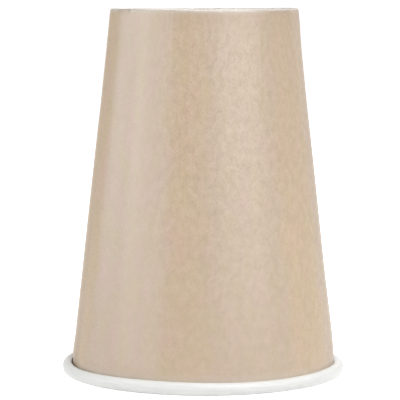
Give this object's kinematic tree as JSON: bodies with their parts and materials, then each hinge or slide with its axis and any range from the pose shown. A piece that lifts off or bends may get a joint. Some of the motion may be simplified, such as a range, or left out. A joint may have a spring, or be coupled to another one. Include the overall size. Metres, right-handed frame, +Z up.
{
  "type": "paper cup",
  "caption": "Tapered single-wall paper hot cup, brown outside and white inside, with a rolled white rim, a lapped side seam and a recessed sealed bottom, standing upside down on its rim.",
  "frame": {"origin": "centre of the plane that the rolled rim stands on", "axes": "+Z up the cup's axis, from the mouth to the foot; +Y towards the side seam at the back; +X to the right as the picture shows it"},
  "size_m": [0.09, 0.09, 0.1161],
  "materials": {
    "brown_board": "matte",
    "white_board": "satin"
  },
  "bodies": {
    "root": {"cup_wall": "brown_board", "cup_bottom": "white_board"}
  },
  "joints": []
}
